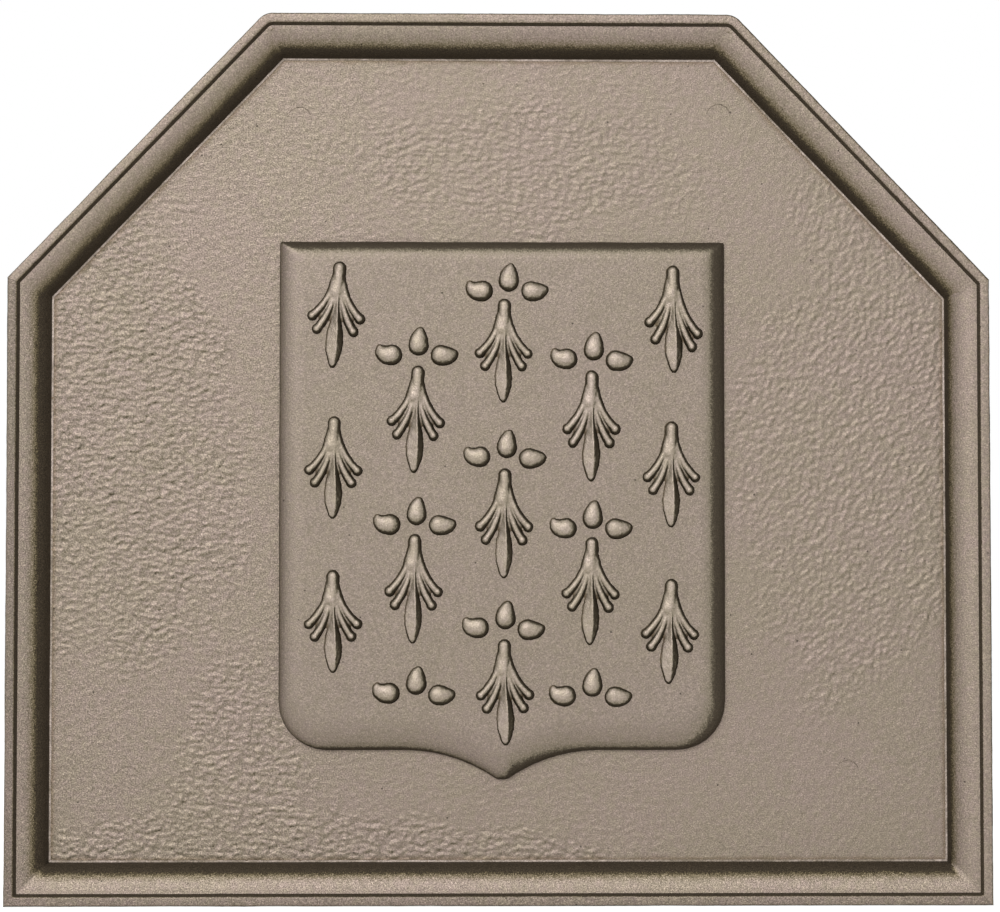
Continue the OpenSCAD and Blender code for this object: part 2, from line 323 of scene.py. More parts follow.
@dataclass(frozen=True)
class Outline:
    """Outer edge of the fireback, seen from the front, in metres."""

    width: float
    height: float
    top_w: float
    side_h: float
    corner_r: float
    corner_steps: int = 8

    @classmethod
    def of_frame(cls, top_w: float = 240, corner_r: float = 10) -> "Outline":
        """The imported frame's outline, with its top edge and its top corners' radius in mm."""
        low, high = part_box("back_plate")
        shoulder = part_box("moulding_left")[1].z
        return cls(high.x - low.x, high.z - low.z, top_w * MM, shoulder, corner_r * MM)

    def corner(self, index: int) -> Vector:
        """Corner of the outline as a point (x, z), clockwise from the bottom left."""
        half, top = self.width / 2, self.top_w / 2
        places = [
            (-half, 0), (-half, self.side_h), (-top, self.height),
            (top, self.height), (half, self.side_h), (half, 0),
        ]
        return Vector(places[index % len(places)])

    def along(self, side: Side) -> Vector:
        """Direction of a side, clockwise round the outline."""
        return (self.corner(side.value + 1) - self.corner(side.value)).normalized()

    def inward(self, side: Side) -> Vector:
        """Direction from a side into the fireback."""
        run = self.along(side)
        return Vector((run.y, -run.x))

    def run(self, side: Side) -> float:
        """Length of a side."""
        return (self.corner(side.value + 1) - self.corner(side.value)).length

    def inset(self, side: Side, point: Vector) -> float:
        """How far a point (x, y, z) lies inwards from a side."""
        return (Vector((point.x, point.z)) - self.corner(side.value)).dot(self.inward(side))

    def insets(self, point: Vector) -> list[float]:
        """How far a point lies inwards from each side, in mm, the nearest side first."""
        return sorted(self.inset(side, point) / MM for side in Side)

    def side_at(self, point: Vector) -> Side:
        """The side that a point (x, y, z) lies nearest to."""
        return min(Side, key=lambda side: self.inset(side, point))

    def mitre(self, index: int, inset: float) -> Vector:
        """Where two sides meet at a corner, once both have moved inwards."""
        before = self.inward(Side((index - 1) % len(Side)))
        after = self.inward(Side(index % len(Side)))
        return self.corner(index) + inset * (before + after) / (1 + before.dot(after))

    def trim(self, inset: float) -> None:
        """Cut the open piece back to a line at a distance inside the two slanted sides."""
        for side in (Side.UPPER_LEFT, Side.UPPER_RIGHT):
            inward = self.inward(side)
            point = self.corner(side.value) + inset * inward
            cut_off((point.x, 0, point.y), (-inward.x, 0, -inward.y))

    def round_corners(self) -> None:
        """Cut the open piece round at the two top corners, by planes that touch the arc."""
        for index in TOP_CORNERS:
            centre = self.mitre(index, self.corner_r)
            first = -self.inward(Side(index - 1))
            last = -self.inward(Side(index))
            for step in range(1, self.corner_steps):
                normal = first.lerp(last, step / self.corner_steps).normalized()
                point = centre + self.corner_r * normal
                cut_off((point.x, 0, point.y), (normal.x, 0, normal.y))

    def sheet(self, name: str, y: float) -> Object:
        """A face of the outline's shape that looks forward at a depth, its top corners round."""
        piece = add(
            name, bpy.ops.mesh.primitive_plane_add, (self.width, self.height, 1),
            size=1, location=(0, y, self.height / 2), rotation=(math.pi / 2, 0, 0),
        )
        with editing(piece):
            self.trim(0)
            self.round_corners()
        return piece


def standing_grid(
    name: str, low: Place, high: Place, spacing: float, forward: bool = True
) -> Object:
    """An even grid of faces that stands upright.

    Args:
        name: The piece's name.
        low: Lowest corner; its y is the depth of the grid.
        high: Highest corner.
        spacing: Width of one face.
        forward: Whether the faces look forward, to -Y, or back.

    Returns:
        The piece.
    """
    width, height = high[0] - low[0], high[2] - low[2]
    return add(
        name, bpy.ops.mesh.primitive_grid_add, (width, height, 1),
        x_subdivisions=round(width / spacing), y_subdivisions=round(height / spacing), size=1,
        location=((low[0] + high[0]) / 2, low[1], (low[2] + high[2]) / 2),
        rotation=(math.pi / 2 if forward else -math.pi / 2, 0, 0),
    )


# ------------------------------------------------------------------ finishes


def linear(hex_colour: str) -> tuple[float, float, float, float]:
    """Turn an sRGB colour such as "a09482" into linear red, green, blue and alpha."""
    parts = [int(hex_colour[i : i + 2], 16) / 255 for i in (0, 2, 4)]
    red, green, blue = (c / 12.92 if c <= 0.04045 else ((c + 0.055) / 1.055) ** 2.4 for c in parts)
    return red, green, blue, 1.0


def add_node(
    tree: Tree, kind: str, settings: dict[str | int, object] | None = None
) -> bpy.types.Node:
    """Add a node, set its properties and inputs, and link the inputs that sockets feed.

    Args:
        tree: The node tree.
        kind: The node's type, without the leading "ShaderNode".
        settings: Values by property name, or values and sockets by input name or number.

    Returns:
        The new node.
    """
    node = tree.nodes.new("ShaderNode" + kind)
    for name, value in (settings or {}).items():
        if isinstance(value, Socket):
            tree.links.new(value, node.inputs[name])
        elif isinstance(name, str) and hasattr(node, name):
            setattr(node, name, value)
        else:
            node.inputs[name].default_value = value
    return node


def ramp(
    tree: Tree, value: Socket, start: float, stop: float, low: float = 0.0, high: float = 1.0,
    way: str = "LINEAR",
) -> Socket:
    """A value that goes from low to high while another goes from start to stop.

    Args:
        tree: The node tree.
        value: The other value.
        start: Where the rise begins.
        stop: Where it ends.
        low: The result up to the start.
        high: The result from the stop on.
        way: How it goes between the two, as in the Map Range node.

    Returns:
        The result.
    """
    return add_node(tree, "MapRange", {
        "interpolation_type": way, "Value": value,
        "From Min": start, "From Max": stop, "To Min": low, "To Max": high,
    }).outputs["Result"]


def reckon(tree: Tree, operation: str, *values: Socket | float) -> Socket:
    """What one operation of the Math node makes of its values."""
    settings = {"operation": operation} | dict(enumerate(values))
    return add_node(tree, "Math", settings).outputs[0]


def blend(
    tree: Tree, share: Socket | float, first: object, second: object, way: str = "MIX"
) -> Socket:
    """Two colours mixed by a share, each of them a socket or a linear colour."""
    settings = {"data_type": "RGBA", "blend_type": way, 0: share, 6: first, 7: second}
    return add_node(tree, "Mix", settings).outputs[2]


def cloudy(tree: Tree, place: Socket, size: float, detail: float, rough: float = 0.5) -> Socket:
    """A noise round one half, whose bumps are a size in mm across."""
    return add_node(tree, "TexNoise", {
        "Vector": place, "Scale": per_metre(size), "Detail": detail, "Roughness": rough,
    }).outputs["Fac"]


def noted(tree: Tree, attribute: str) -> Socket:
    """The share that mark() noted on the mesh, or 0 where it noted none."""
    return add_node(tree, "Attribute", {"attribute_name": attribute}).outputs["Fac"]


def cleared_tree(holder: Material | bpy.types.World) -> Tree:
    """The node tree of a new material or world, with nothing in it."""
    holder.use_nodes = True
    holder.node_tree.nodes.clear()
    return holder.node_tree


def per_metre(size: float) -> float:
    """Scale of a pattern on Object coordinates whose repeat is a size in mm."""
    return 1 / (size * MM)


@dataclass(frozen=True)
class CastIron:
    """Grey iron cast in green sand, blacked with graphite and rubbed on its front.

    Graphite on iron looks a soft warm grey on what looks forward. Its slopes carry painted
    shade, most of all those that turn away from the painted light: their colour goes through a
    greenish grey to near black. The sand of the mould leaves a fine grain all over, whose tips
    are rubbed brighter than its hollows, and a pore here and there.
    """

    name: str
    face: str = "8b7d74"  # rubbed graphite on what looks forward
    tint: str = "887d6f"  # the same in patches, where the graphite is thinner
    edge: str = "7d7563"  # painted half shade, between the lit colour and painted shade
    painted_shade: str = "4e4639"  # on slopes turned away from the painted light
    painted_light_from: Place = (-0.2, -1.0, 0.3)  # where the painted light comes from
    unshaded_to: float = 0.0  # degrees off the painted light up to which no shade is painted
    full_shade_from: float = 53.0  # degrees off the painted light from which painted shade is full
    metallic: float = 0.75
    specular: float = 0.2
    roughness: float = 0.47
    grain_mm: float = 0.7  # size of the sand grain
    grain_depth: float = 0.22  # mm between its lowest and highest points
    grain_shade: float = 0.46  # share by which its tips are lighter than the mean
    grain_catch: float = 0.2  # how far it breaks up the edge of the painted shade
    glint: float = 0.15  # painted glint: share by which the highest tips are brighter still
    depth_light: float = 0.0  # painted light: crests this share lighter, hollows darker
    hollow_y: float = 0.0  # mm, depth at which the hollows lie
    crest_y: float = -1.0  # mm, depth at which the crests lie
    mottle_mm: float = 3.5  # size of the patches of tint
    cloud_mm: float = 60.0  # size of the broad lighter and darker areas
    pore_gap_mm: float = 12.0
    pore_r_mm: float = 0.6
    foot_shade_colour: str = "e0d9cd"  # painted shade at the foot of mouldings and ornaments
    duller: float = 0.16  # how much rougher the painted-shade slopes are than the lit faces

    def build(self) -> Material:
        """Build the node material."""
        material = bpy.data.materials.new(self.name)
        tree = cleared_tree(material)
        place = add_node(tree, "TexCoord").outputs["Object"]
        grain = cloudy(tree, place, self.grain_mm, detail=2.0, rough=0.6)
        bump = add_node(
            tree, "Bump", {"Strength": 1.0, "Distance": self.grain_depth * MM, "Height": grain}
        ).outputs["Normal"]
        # Share of lit colour against painted shade on slopes
        reach = self.reach(tree, grain)

        # Painted shade on slopes, then grain, pores, painted highlights and painted foot shade
        thin = ramp(tree, reach, 0.0, 0.5)
        full = ramp(tree, reach, 0.2, 1.0)
        outer = blend(tree, thin, linear(self.painted_shade), linear(self.edge))
        colour = blend(tree, full, outer, self.rubbed(tree, place))
        colour = blend(tree, 1.0, colour, self.shade(tree, place, grain), "MULTIPLY")
        # Painted shade at the foot of mouldings and ornaments
        colour = blend(tree, noted(tree, FOOT_SHADE), colour, linear(self.foot_shade_colour), "MULTIPLY")
        shader = add_node(tree, "BsdfPrincipled", {
            "Metallic": self.metallic, "Specular IOR Level": self.specular, "Base Color": colour,
            "Roughness": ramp(tree, reach, 0.0, 1.0, self.roughness + self.duller, self.roughness),
            "Normal": bump,
        })
        add_node(tree, "OutputMaterial", {"Surface": shader.outputs[0]})
        return material

    def rubbed(self, tree: Tree, place: Socket) -> Socket:
        """The rubbed colour, in broad clouds and small patches of two shades."""
        clouds = cloudy(tree, place, self.cloud_mm, detail=3.0)
        patches = cloudy(tree, place, self.mottle_mm, detail=4.0)
        tinted = ramp(tree, reckon(tree, "ADD", clouds, patches), 0.8, 1.2)
        return blend(tree, tinted, linear(self.face), linear(self.tint))

    def reach(self, tree: Tree, grain: Socket) -> Socket:
        """Share of lit colour against painted shade, by how the surface turns from the painted
        light.

        Args:
            tree: The node tree.
            grain: The sand grain, whose tips are lit a little sooner.

        Returns:
            1 where the surface meets the painted light squarely, and 0 where it is in full painted
            shade.
        """
        square = add_node(tree, "VectorMath", {
            "operation": "DOT_PRODUCT", 0: add_node(tree, "NewGeometry").outputs["Normal"],
            1: tuple(Vector(self.painted_light_from).normalized()),
        }).outputs["Value"]
        black, even = (
            math.cos(math.radians(angle)) + self.grain_catch / 2
            for angle in (self.full_shade_from, self.unshaded_to)
        )
        caught = reckon(tree, "MULTIPLY_ADD", grain, self.grain_catch, square)
        return ramp(tree, caught, black, even, way="SMOOTHSTEP")

    def shade(self, tree: Tree, place: Socket, grain: Socket) -> Socket:
        """How much lighter or darker than its colour the iron is.

        Args:
            tree: The node tree.
            place: Object coordinates.
            grain: The sand grain; nearly all of it lies between 0.3 and 0.7.

        Returns:
            A factor round 1.
        """
        # Hollows of the grain hold blacking, unless the grain is worn away
        tips = ramp(tree, grain, 0.3, 0.7, 1 - self.grain_shade, 1 + self.grain_shade)
        tips = add_node(tree, "Mix", {0: noted(tree, WORN), 2: tips, 3: 1.0}).outputs[0]

        # Pores: the few cells of a pattern in space whose middle lies right at the surface
        cells = add_node(
            tree, "TexVoronoi", {"Vector": place, "Scale": per_metre(self.pore_gap_mm)}
        ).outputs["Distance"]
        pore_r = self.pore_r_mm / self.pore_gap_mm
        pores = ramp(tree, cells, 0.6 * pore_r, pore_r, low=0.3)

        # Painted highlights: on the highest tips of the grain, and on crests, with hollows darker
        glints = ramp(tree, grain, 0.56, 0.7, 1.0, 1 + self.glint)
        # Painted light and shade by depth
        depth = add_node(tree, "SeparateXYZ", {"Vector": place}).outputs["Y"]
        depth_lit = ramp(
            tree, depth, self.hollow_y * MM, self.crest_y * MM, 1 - self.depth_light, 1 + self.depth_light
        )
        return reckon(
            tree, "MULTIPLY", reckon(tree, "MULTIPLY", tips, pores),
            reckon(tree, "MULTIPLY", glints, depth_lit),
        )


FIELD_IRON = CastIron("blacked_iron_field")
FRAME_IRON = CastIron(
    "blacked_iron_frame", painted_shade="433b30", edge="6e6449", painted_light_from=(-0.2, -1, -0.045),
    unshaded_to=22, full_shade_from=49, grain_shade=0.3, grain_depth=0.25, grain_catch=0.25,
    hollow_y=-10.4, crest_y=-11.6,
)
ROUGH_IRON = replace(FRAME_IRON, grain_mm=0.6, grain_shade=0.48, grain_depth=0.32, glint=0.3)
# Lit and shaded copies of the frame's iron, one for each side, as light falls on it
SHADED_SIDE_IRONS = {
    Side.LEFT: replace(
        ROUGH_IRON, name="iron_painted_shade_left", face="80736a", tint="7d7366", depth_light=-0.12,
        full_shade_from=50,
    ),
    Side.UPPER_LEFT: replace(
        FRAME_IRON, name="iron_painted_shade_upper_left", unshaded_to=8, full_shade_from=57, grain_catch=0.18
    ),
    Side.TOP: replace(
        FRAME_IRON, name="iron_painted_shade_top", depth_light=0.04, unshaded_to=14, full_shade_from=47
    ),
    Side.UPPER_RIGHT: replace(
        FRAME_IRON, name="iron_painted_shade_upper_right", unshaded_to=0, full_shade_from=44
    ),
    Side.RIGHT: replace(FRAME_IRON, name="iron_painted_shade_right", unshaded_to=26, full_shade_from=52),
    Side.BOTTOM: replace(ROUGH_IRON, name="iron_painted_shade_bottom", depth_light=-0.16, full_shade_from=47),
}
# Painted highlight for the fillet at the moulding's foot
FILLET_HIGHLIGHT_IRON = replace(
    FRAME_IRON, name="iron_painted_highlight_fillet", face="a69990", tint="807568", mottle_mm=5
)
# Painted shade for the step below the lip
STEP_SHADE_IRON = replace(FRAME_IRON, name="iron_painted_shade_step", unshaded_to=0, full_shade_from=30)
# The shield's roll is painted darker on the right and below, as painted shade
SHIELD_IRON = CastIron(
    "blacked_iron_shield", face="897c73", tint="867b6e", painted_shade="4c4439",
    painted_light_from=(-0.5, -1, -0.15), unshaded_to=20, full_shade_from=49, grain_shade=0.22, grain_catch=0.14,
)
# Ornaments: painted highlight on their crests, painted shade at their feet
RELIEF_IRON = CastIron(
    "blacked_iron_relief", face="9b8e84", tint="968b7c", painted_shade="413a2e", painted_light_from=(-0.2, -1, 0.14),
    unshaded_to=4, full_shade_from=52, grain_shade=0.12, grain_catch=0.16, depth_light=0.1, hollow_y=-6,
    crest_y=-9, foot_shade_colour="aaa191",
)
RAW_IRON = CastIron(
    "raw_iron", face="6a6258", tint="574f45", edge="4c453c", painted_shade="433c34", painted_light_from=(0, 1, 0.1),
    unshaded_to=15, full_shade_from=80, metallic=0.35, roughness=0.6, glint=0,
)


def finish(piece: Object, material: Material, slot: str, node: str) -> None:
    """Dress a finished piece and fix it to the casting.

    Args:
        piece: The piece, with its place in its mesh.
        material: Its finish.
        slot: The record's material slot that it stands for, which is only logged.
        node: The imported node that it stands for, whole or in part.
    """
    piece.data.materials.clear()
    piece.data.materials.append(material)
    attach(piece, BODY)
    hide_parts(node)
    faces = len(piece.data.polygons)
    log.info("%s: %d faces, slot %s, stands for %s", piece.name, faces, slot, node)


# --------------------------------------------------------------------- frame


@dataclass
class MouldedFrame:
    """The frame round the edge: a lip, a step down, and an ovolo that falls to a narrow fillet."""

    outline: Outline
    materials: dict[Side, Material]
    fillet_highlight: Material  # for the narrow fillet, which carries a painted highlight
    step_shade: Material  # for the step below the lip, which carries painted shade
    lip_w: float = 5.0
    lip_outer_r: float = 1.5
    lip_inner_r: float = 2.2
    step_w: float = 1.8
    step_d: float = 2.0
    ovolo_w: float = 15.3
    ovolo_h: float = 12.0
    ovolo_steps: int = 22
    fillet_w: float = 1.0
    fillet_h: float = 0.55
    edge_steps: int = 5
    valley_w: float = 4.0  # mm beside a mitre over which the ovolo is rounded into the next
    valley_rounds: int = 24
    bed: float = 2.8  # mm that it goes below the field, into the plate
    spacing: float = 1.3  # mm between cross sections
    long_edge: float = 40.0  # mm from which an edge hasn't been divided yet
    arc_spent: float = 0.96  # share of the corner's radius after which its arc is all but gone
    arc_reach: float = 0.6  # mm round the mitre within which that arc then lies
    crease: float = 38.0  # degrees from which an edge stays sharp
    fillet_slack: float = 0.25  # mm by which the iron's unevenness may lift the fillet
    crown_slack: float = 0.6  # mm by which it may sink the ovolo's crown
    fillet_normal: float = -0.85  # how far forward the fillet looks at least
    step_normal: float = -0.8  # how far forward the step below the lip looks at most
    skin: tuple[Relief, ...] = (Relief(22, 0.5, sink=1.0), Relief(2.2, 0.26, sink=1.0, depth=2))

    @property
    def field_y(self) -> float:
        """Depth of the field's face."""
        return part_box("back_plate")[0].y

    @property
    def band_w(self) -> float:
        """Width of the whole moulding on the field, in mm."""
        return self.lip_w + self.step_w + self.ovolo_w

    def profile(self) -> list[Point]:
        """Cross section of the moulding, from the lip's outer edge to its foot.

        Returns:
            Points (distance inwards, height above the field) in mm.
        """
        lip_h = self.ovolo_h + self.step_d
        r = self.lip_outer_r
        points = []
        for i in range(self.edge_steps + 1):
            a = math.pi / 2 * i / self.edge_steps
            points.append((r - r * math.cos(a), lip_h - r + r * math.sin(a)))
        r = self.lip_inner_r
        slope = math.atan2(self.step_d, self.step_w)
        inner = self.lip_w - r * math.tan(slope / 2)
        points.append(((self.lip_outer_r + inner) / 2, lip_h))
        for i in range(self.edge_steps + 1):
            a = slope * i / self.edge_steps
            points.append((inner + r * math.sin(a), lip_h - r + r * math.cos(a)))
        points.append((self.lip_w + self.step_w, self.ovolo_h))
        radius = (self.ovolo_w**2 + self.ovolo_h**2) / (2 * self.ovolo_h)
        last = math.acos((radius - self.ovolo_h + self.fillet_h) / radius)
        for i in range(1, self.ovolo_steps + 1):
            a = last * i / self.ovolo_steps
            points.append((
                self.lip_w + self.step_w + radius * math.sin(a),
                self.ovolo_h - radius + radius * math.cos(a),
            ))
        foot = points[-1][0] + self.fillet_w
        return [*points, (foot, self.fillet_h - 0.05), (foot + 0.3, -self.bed)]

    def ring(self) -> Object:
        """Model the frame as one closed ring with mitred corners, by insets along its profile."""
        points = self.profile()
        piece = self.outline.sheet("frame_ring", self.field_y + self.bed * MM)
        with editing(piece):
            pick_all(Element.FACE)
            deepen(bpy.ops.mesh.extrude_region_move, -(self.bed + points[0][1]) * MM)
            merged = False
            for (x0, h0), (x1, h1) in zip(points, points[1:]):
                bpy.ops.mesh.inset(
                    thickness=(x1 - x0) * MM, depth=(h1 - h0) * MM, use_even_offset=True
                )
                if not merged and x1 * MM > self.outline.corner_r * self.arc_spent:
                    self.merge_arcs(piece, x1 * MM)
                    merged = True
            bpy.ops.mesh.delete(type="FACE")
            drop_faces(piece, lambda place, face: len(face.verts) > 4)
            pick_open_edges(piece)
            bpy.ops.mesh.bridge_edge_loops()
            self.cut_lengths(piece)
            face_outwards()
        return piece

    def merge_arcs(self, piece: Object, inset: float) -> None:
        """Merge the shrunken arc at each top corner of the innermost face into one point."""
        mesh = bmesh.from_edit_mesh(piece.data)
        depth = next(face for face in mesh.faces if face.select).verts[0].co.y
        reach = self.arc_reach * MM
        for index in TOP_CORNERS:
            x, z = self.outline.mitre(index, inset)
            corner = Vector((x, depth, z))
            pick(piece, Element.VERTEX, lambda place, v, at=corner: (place - at).length < reach)
            bpy.ops.mesh.merge(type="CENTER")
        pick(
            piece, Element.FACE,
            lambda place, face: abs(place.y - depth) < HAIR and len(face.verts) == len(Side),
        )

    def cut_lengths(self, piece: Object) -> None:
        """Divide the long faces of each side into short ones, so that the iron can be uneven."""
        for side in Side:
            cuts = math.ceil(math.sqrt(self.outline.run(side) / (self.spacing * MM)))
            for shortest in (self.long_edge * MM, 4 * self.spacing * MM):
                pick(piece, Element.EDGE, self.runs_along(side, shortest))
                bpy.ops.mesh.subdivide(number_cuts=cuts - 1)

    def runs_along(self, side: Side, shortest: float) -> Test:
        """A test for the edges of some length that follow one side of the outline."""
        run = self.outline.along(side)

        def test(middle: Vector, edge: object) -> bool:
            """Whether an edge is long enough and follows the side."""
            span = edge.verts[1].co - edge.verts[0].co
            if span.length < shortest or self.outline.side_at(middle) is not side:
                return False
            return abs(Vector((span.x, span.z)).dot(run)) > 0.999 * span.length

        return test

    def build(self) -> None:
        """Model the frame, let the sand mark it, and part it at its mitres."""
        ring = self.ring()
        weigh(ring, "valleys", self.near_mitre)
        relax(ring, self.valley_rounds, "valleys")
        for relief in self.skin:
            relief.press(ring)
        for side in Side:
            self.part(ring, side)
        remove(ring)

    def near_mitre(self, place: Vector) -> float:
        """Share from 0 to 1 by which a place on the ovolo lies in a mitre's valley."""
        nearest, second, *_ = self.outline.insets(place)
        start = self.lip_w + self.step_w
        off_step = soft_step(nearest, start + 1, start + 4)
        off_foot = 1 - soft_step(nearest, self.band_w - 2, self.band_w - 1)
        return off_step * off_foot * (1 - soft_step(second - nearest, 0, self.valley_w))

    def part(self, ring: Object, side: Side) -> None:
        """Cut one side's moulding out of the ring, close its two mitres and dress it.

        Args:
            ring: The whole frame.
            side: The side that is wanted.
        """
        name = side.name.lower()
        piece = copy_of(ring, "cast_moulding_" + name)
        with editing(piece):
            drop_faces(piece, lambda place, face: self.outline.side_at(place) is not side)
            bpy.ops.mesh.select_all(action="SELECT")
            bpy.ops.mesh.fill_holes(sides=0)
            face_outwards()
        smooth(piece, self.crease)
        finish(piece, self.materials[side], "cast_frame", "moulding_" + name)
        fillet_y = self.field_y - (self.fillet_h + self.fillet_slack) * MM
        crown_y = self.field_y - (self.ovolo_h - self.crown_slack) * MM
        # A painted highlight on the fillet, and painted shade on the step below the lip
        self.dress(
            piece, self.fillet_highlight,
            lambda place, face: place.y > fillet_y and face.normal.y < self.fillet_normal,
        )
        # Painted shade on the step below the lip
        self.dress(
            piece, self.step_shade,
            lambda place, face: place.y < crown_y and face.normal.y > self.step_normal
            and self.outline.inset(side, place) > self.lip_w / 2 * MM,
        )

    @staticmethod
    def dress(piece: Object, material: Material, test: Test) -> None:
        """Give the faces of a moulding that pass a test a finish of their own."""
        piece.data.materials.append(material)
        with editing(piece):
            pick(piece, Element.FACE, test)
            piece.active_material_index = len(piece.data.materials) - 1
            bpy.ops.object.material_slot_assign()


# --------------------------------------------------------------------- plate


@dataclass(frozen=True)
class Patch:
    """A part of the field with its own strength of hammering, as a soft-edged ellipse."""

    x: float
    z: float
    half_w: float
    half_h: float
    strength: float
    core: float = 0.75  # share of its half sizes within which it has its full strength
    rim: float = 1.1  # share of its half sizes at which it ends
    wobble: float = 0.35  # share by which its edge wanders in and out

    def at(self, place: Vector, wander: float) -> float:
        """Strength of this patch at a place, its edge shifted by a wandering share."""
        dx = (place.x / MM - self.x) / self.half_w
        dz = (place.z / MM - self.z) / self.half_h
        away = math.hypot(dx, dz) + self.wobble * wander
        return self.strength * (1 - soft_step(away, self.core, self.rim))


@dataclass
class Plate:
    """The plate: a rough back, plain edges, and the hammered field on its front."""

    outline: Outline
    field_material: Material
    back_material: Material
    band_w: float
    spacing: float = 0.66  # mm between points of the field
    back_spacing: float = 3.0
    recess: float = 2.0  # mm from the field back to the underside of its panels
    body_recess: float = 1.2  # mm from the field back to the body, before its surface is roughened
    tuck: float = 1.5  # mm that the field reaches under the mouldings
    under: float = 3.0  # mm that the field reaches under the shield
    shoulder: float = 36.0  # mm from the shield's point up to where its sides are straight
    edge_r: float = 0.5
    flush: float = 0.2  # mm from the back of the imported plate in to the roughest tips
    ring_r: float = 6.0
    ring_wire: float = 0.28
    ring_tilt: float = 2.5  # degrees by which its lower half is sunk
    calm: float = 0.24  # strength of the hammering between the patches
    fringe: float = 0.6  # share of it that is left right beside a moulding
    fringe_w: float = 4.0  # mm beside a moulding over which it fades in
    wander_mm: float = 38.0  # size of the waves in which the patches' edges wander
    foot_shade_w: float = 3.2  # mm beside a moulding over which shade is painted
    wear: float = 0.42  # share by which the grain is worn away on the right
    worn_from: float = -120.0  # mm across, where the wear begins
    worn_full: float = -20.0  # mm across, where it is full
    turning: float = 60.0  # mm on each side of the shield's right edge where the ripples turn
    crease: float = 60.0  # degrees from which an edge of the field stays sharp
    back_skin: tuple[Relief, ...] = (Relief(45, 0.6, sink=1.2), Relief(7, 0.5, sink=1.2, depth=3))
    swell: Relief = Relief(55, 0.35)
    ripples: tuple[tuple[str, Relief], ...] = (
        ("left", Relief(2.2, 2.05, stretch=1.7, rise=-6)),
        ("left", Relief(1.1, 0.6, stretch=1.3)),
        ("right", Relief(2.4, 1.8, stretch=1.3, rise=48)),
        ("right", Relief(1.1, 0.4)),
    )
    patches: tuple[Patch, ...] = (
        Patch(-196, 238, 66, 124, 1.0),
        Patch(-134, 66, 38, 58, 0.95),
        Patch(-110, 24, 150, 24, 1.0),
        Patch(10, 376, 95, 34, 0.5),
        Patch(182, 225, 66, 120, 0.8),
        Patch(190, 330, 40, 60, 0.55),
    )
    ring_places: tuple[Point, ...] = (
        (-102.5, 401.2), (112.6, 403.3), (-188.4, 64.2), (177.3, 67.0),
    )

    def hammering(self, place: Vector) -> float:
        """Strength of the hammered texture at a place on the field, from 0 to 1."""
        wander = wandering(place, self.wander_mm)
        strongest = max(patch.at(place, wander) for patch in self.patches)
        inset = self.outline.insets(place)[0]
        clear = soft_step(inset, self.band_w, self.band_w + self.fringe_w)
        strength = self.calm + (1 - self.calm) * strongest
        return strength * (self.fringe + (1 - self.fringe) * clear)

    def body(self) -> None:
        """Model the body of the plate, with its rough back and its edges."""
        low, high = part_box("back_plate")
        start = (low.x, high.y, low.z)
        piece = standing_grid("cast_plate", start, tuple(high), self.back_spacing * MM, False)
        front = low.y + self.body_recess * MM
        with editing(piece):
            self.outline.trim(0)
            self.outline.round_corners()
            pick_all(Element.VERTEX)
            bpy.ops.mesh.remove_doubles(threshold=self.edge_r * MM)
            pick_all(Element.FACE)
            deepen(bpy.ops.mesh.extrude_region_move, front - high.y)
            bpy.ops.mesh.delete(type="FACE")
            pick(piece, Element.EDGE, lambda place, e: e.is_boundary and place.y < high.y - MM)
            bpy.ops.mesh.edge_face_add()
            pick(
                piece, Element.EDGE,
                lambda place, edge: abs(edge.verts[0].co.y - edge.verts[1].co.y) > 5 * MM,
            )
            bpy.ops.mesh.subdivide(number_cuts=3)
            face_outwards()
            pick(
                piece, Element.EDGE,
                lambda place, edge: place.y > high.y - HAIR and edge.calc_face_angle(0) > 1.0,
            )
            bpy.ops.mesh.bevel(offset=self.edge_r * MM, segments=3)
            face_outwards()
        for relief in self.back_skin:
            relief.press(piece)
        flush = high.y - self.flush * MM
        with editing(piece):
            pick(piece, Element.VERTEX, lambda place, vertex: place.y > flush)
            bpy.ops.transform.resize(value=(1, 0, 1), center_override=(0, flush, 0))
        smooth(piece, 40)
        finish(piece, self.back_material, "cast_field", "back_plate")

    def face(self) -> Object:
        """The whole front of the field, hammered, before it is parted into four."""
        low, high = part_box("back_plate")
        inner = (self.band_w - self.tuck) * MM
        piece = standing_grid(
            "field", (low.x + inner, low.y, low.z + inner), (high.x - inner, low.y, high.z - inner),
            self.spacing * MM,
        )
        shield_low, shield_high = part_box("shield")
        under = self.under * MM
        shoulder = shield_low.z + self.shoulder * MM
        with editing(piece):
            self.outline.trim(inner)
            drop_faces(
                piece,
                lambda place, face: shield_low.x + under < place.x < shield_high.x - under
                and shoulder < place.z < shield_high.z - under,
            )
        right, turning = shield_high.x, self.turning * MM

        def on_right(place: Vector) -> float:
            """Share of a place that lies on the right of the shield."""
            return soft_step(place.x, right - turning, right + turning)

        weigh(piece, "left", lambda place: self.hammering(place) * (1 - on_right(place)))
        weigh(piece, "right", lambda place: self.hammering(place) * on_right(place))
        self.swell.press(piece)
        for group, relief in self.ripples:
            relief.press(piece, group)
        # Painted shade on the field along the foot of the moulding
        mark(piece, FOOT_SHADE, self.beside_moulding)
        mark(piece, WORN, self.worn)
        return piece

    def worn(self, place: Vector) -> float:
        """Share from 0 to 1 by which the grain is worn away at a place on the field."""
        return self.wear * soft_step(place.x / MM, self.worn_from, self.worn_full)

    def beside_moulding(self, place: Vector) -> float:
        """Share from 0 to 1 by which a place on the field lies right beside the moulding."""
        beside = self.outline.insets(place)[0] - self.band_w
        return 1 - soft_step(beside, 0.4, self.foot_shade_w * (1 + 0.5 * wandering(place, 9)))

